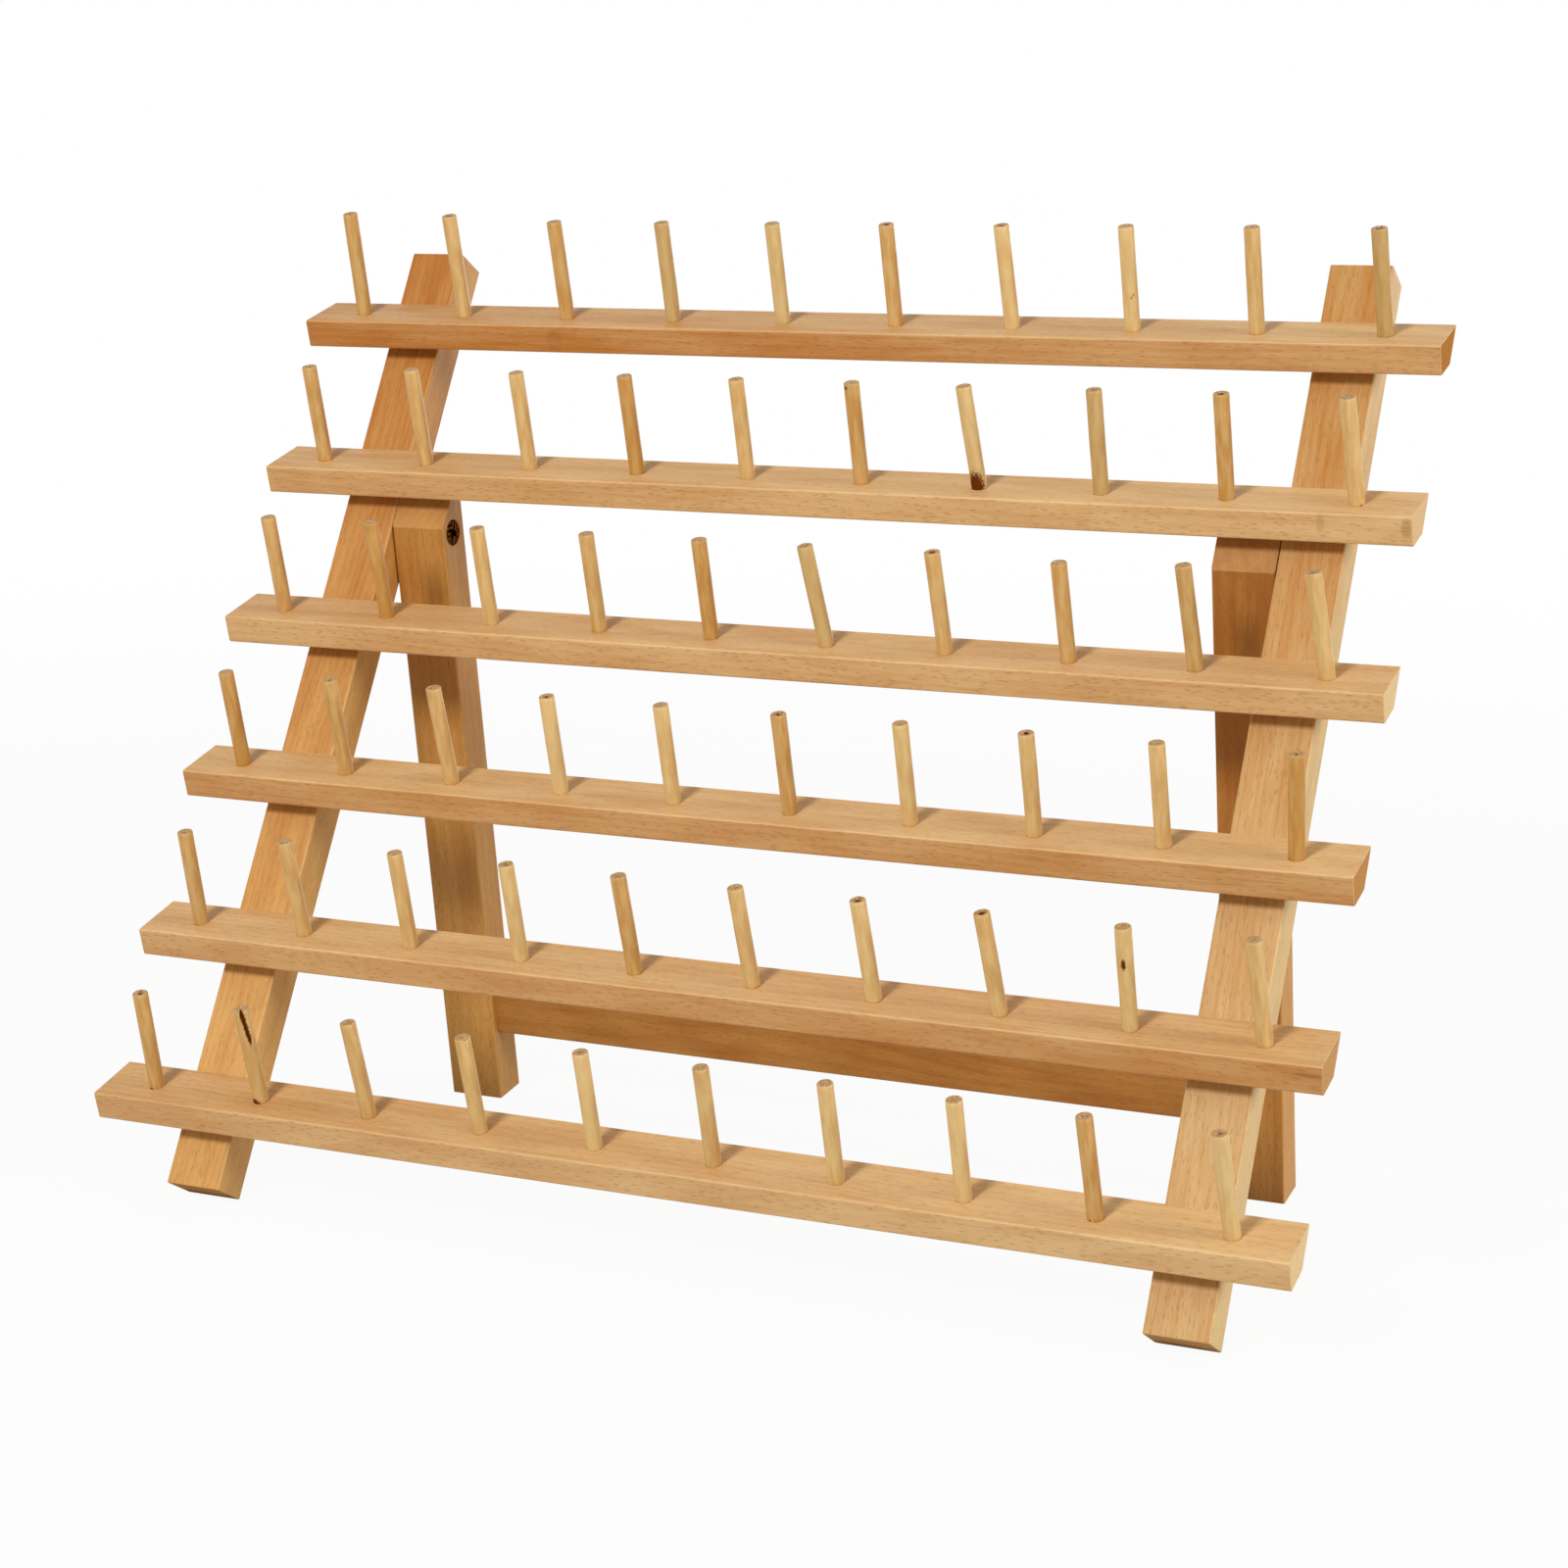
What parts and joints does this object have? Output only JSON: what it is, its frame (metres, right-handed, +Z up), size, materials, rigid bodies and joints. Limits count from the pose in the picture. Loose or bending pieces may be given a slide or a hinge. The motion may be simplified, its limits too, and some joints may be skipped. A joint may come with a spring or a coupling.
{
  "type": "thread rack",
  "caption": "Folding wooden thread rack: sloping pegged rails on two leaning uprights, propped by a hinged rear stand.",
  "frame": {"origin": "centre of the overall box in X and Y, on the surface that the rack's four feet stand on", "axes": "+X to the right along the rails, +Y to the rear where the stand opens, +Z up; the pegs face -Y"},
  "size_m": [0.4, 0.1828, 0.315],
  "materials": {
    "beech": "sanded, clear satin",
    "birch": "plain dowel",
    "bronzed_steel": "dark bronze",
    "zinc_plated_steel": "zinc plated"
  },
  "bodies": {
    "front_frame": {"rail_1": "beech", "rail_2": "beech", "rail_3": "beech", "rail_4": "beech", "rail_5": "beech", "rail_6": "beech", "pegs_rail_1": "birch", "pegs_rail_2": "birch", "pegs_rail_3": "birch", "pegs_rail_4": "birch", "pegs_rail_5": "birch", "pegs_rail_6": "birch", "left_upright": "beech", "left_rail_screws": "zinc_plated_steel", "left_pivot_screw": "bronzed_steel", "right_upright": "beech", "right_rail_screws": "zinc_plated_steel", "right_pivot_screw": "bronzed_steel"},
    "rear_stand": {"left_rear_leg": "beech", "right_rear_leg": "beech", "rear_stretcher": "beech", "left_stretcher_dowels": "birch", "right_stretcher_dowels": "birch"}
  },
  "joints": [
    {"name": "rear_stand_fold", "type": "hinge", "parent": "front_frame", "child": "rear_stand", "pos_m": [0, 0.03475, 0.20751], "axis": [-1, 0, 0], "range_deg": [0, 38.6]}
  ]
}
